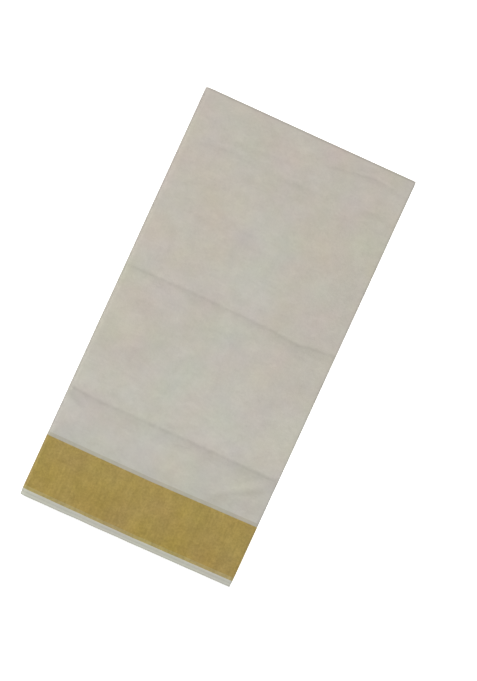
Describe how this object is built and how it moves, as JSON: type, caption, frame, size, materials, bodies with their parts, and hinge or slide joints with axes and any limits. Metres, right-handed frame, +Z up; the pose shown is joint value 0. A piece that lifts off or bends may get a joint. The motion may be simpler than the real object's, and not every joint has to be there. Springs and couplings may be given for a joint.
{
  "type": "folded cotton saree",
  "caption": "Cotton saree folded into a flat oblong pack, off-white with a broad gold border along its open end, lying on its back face.",
  "frame": {"origin": "middle of the underside, on the surface that the pack lies on", "axes": "+X across the pack, from the spine to the lobes of folds; +Y along it, from the selvedges to the long fold; +Z up"},
  "size_m": [0.3059, 0.596, 0.0167],
  "materials": {
    "field": "matte off-white plain-weave cotton, pressed",
    "gold_border": "close-woven gold thread over cotton, fine ribs, soft metallic sheen",
    "selvedge": "matte off-white cotton, firm close-woven edge"
  },
  "bodies": {
    "root": {"outer_field": "field", "outer_border": "gold_border", "outer_selvedge": "selvedge", "inner_field": "field", "inner_border": "gold_border", "inner_selvedge": "selvedge"}
  },
  "joints": []
}
